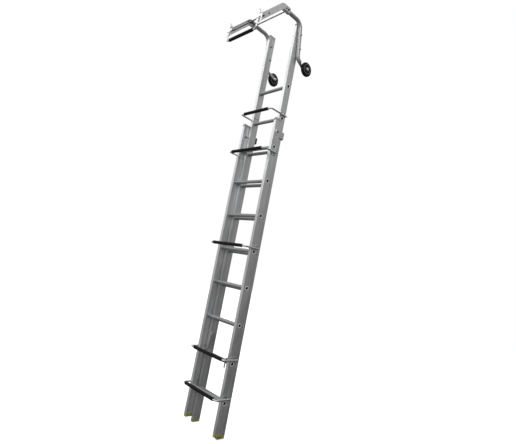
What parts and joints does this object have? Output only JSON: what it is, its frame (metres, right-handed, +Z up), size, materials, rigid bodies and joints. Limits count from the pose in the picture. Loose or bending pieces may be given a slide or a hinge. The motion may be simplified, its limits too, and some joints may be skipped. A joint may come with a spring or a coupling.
{
  "type": "roof ladder",
  "caption": "Push-up roof ladder: a sliding inner section in a base section, with a ridge hook, roof wheels and rubber-sleeved bearing bars that stand it off the roof.",
  "frame": {"origin": "midway between the soles of the base section's two feet, in the plane of its rungs", "axes": "+Z up along the stiles; +X to the right seen from the roof side; +Y from the roof side to the climbing side"},
  "size_m": [0.3898, 0.5905, 2.995],
  "materials": {
    "aluminium": "mill-finished extrusion, faintly streaked",
    "rung_aluminium": "drawn tube, satin",
    "cast_hook": "pressed plate, satin",
    "plated_steel": "bright zinc plate",
    "plated_bolts": "bright zinc plate",
    "tube": "drawn tube, satin",
    "rubber": "smooth black rubber",
    "tyre": "black rubber tread",
    "hub": "moulded nylon",
    "nylon": "moulded nylon",
    "plug": "moulded olive plastic"
  },
  "bodies": {
    "base_section": {"base_stile_left": "aluminium", "base_stile_right": "aluminium", "base_feet": "plug", "base_caps": "plug", "base_rung_1": "rung_aluminium", "base_rung_2": "rung_aluminium", "base_rung_3": "rung_aluminium", "base_rung_4": "rung_aluminium", "base_rung_5": "rung_aluminium", "base_rung_6": "rung_aluminium", "base_rung_7": "rung_aluminium", "base_rung_8": "rung_aluminium", "base_bar_1": "plated_steel", "base_bar_sleeve_1": "rubber", "base_bar_2": "plated_steel", "base_bar_sleeve_2": "rubber", "base_bar_3": "plated_steel", "base_bar_sleeve_3": "rubber", "base_bar_4": "plated_steel", "base_bar_sleeve_4": "rubber", "base_bar_clips": "plated_steel", "guide_bracket_left": "plated_steel", "guide_bracket_right": "plated_steel", "guide_pads": "nylon", "guide_plates": "plated_steel", "base_bolts": "plated_bolts"},
    "fly_section": {"fly_stile_left": "aluminium", "fly_stile_right": "aluminium", "fly_feet": "plug", "fly_caps": "plug", "fly_rung_1": "rung_aluminium", "fly_rung_2": "rung_aluminium", "fly_rung_3": "rung_aluminium", "fly_rung_4": "rung_aluminium", "fly_rung_5": "rung_aluminium", "fly_rung_6": "rung_aluminium", "fly_rung_7": "rung_aluminium", "fly_rung_8": "rung_aluminium", "fly_rung_9": "rung_aluminium", "fly_rung_10": "rung_aluminium", "fly_bar": "plated_steel", "fly_bar_sleeve": "rubber", "fly_bar_clips": "plated_steel", "hook_tube_left": "tube", "hook_leg_left": "tube", "rung_hook_left": "cast_hook", "hook_tube_right": "tube", "hook_leg_right": "tube", "rung_hook_right": "cast_hook", "hook_bar_clips": "plated_steel", "hook_cross_rods": "plated_steel", "hook_bar": "plated_steel", "hook_bar_sleeve": "rubber", "fly_bolts": "plated_bolts", "wheel_axles": "plated_bolts"},
    "wheel_left": {"wheel_tyre_left": "tyre", "wheel_hub_left": "hub"},
    "wheel_right": {"wheel_tyre_right": "tyre", "wheel_hub_right": "hub"}
  },
  "joints": [
    {"name": "fly_slide", "type": "slide", "parent": "base_section", "child": "fly_section", "axis": [0, 0, 1], "range_m": [0, 1.25]},
    {"name": "wheel_left_spin", "type": "hinge", "parent": "fly_section", "child": "wheel_left", "pos_m": [-0.1744, 0.178, 2.64], "axis": [1, 0, 0], "continuous": true},
    {"name": "wheel_right_spin", "type": "hinge", "parent": "fly_section", "child": "wheel_right", "pos_m": [0.1744, 0.178, 2.64], "axis": [1, 0, 0], "continuous": true}
  ]
}
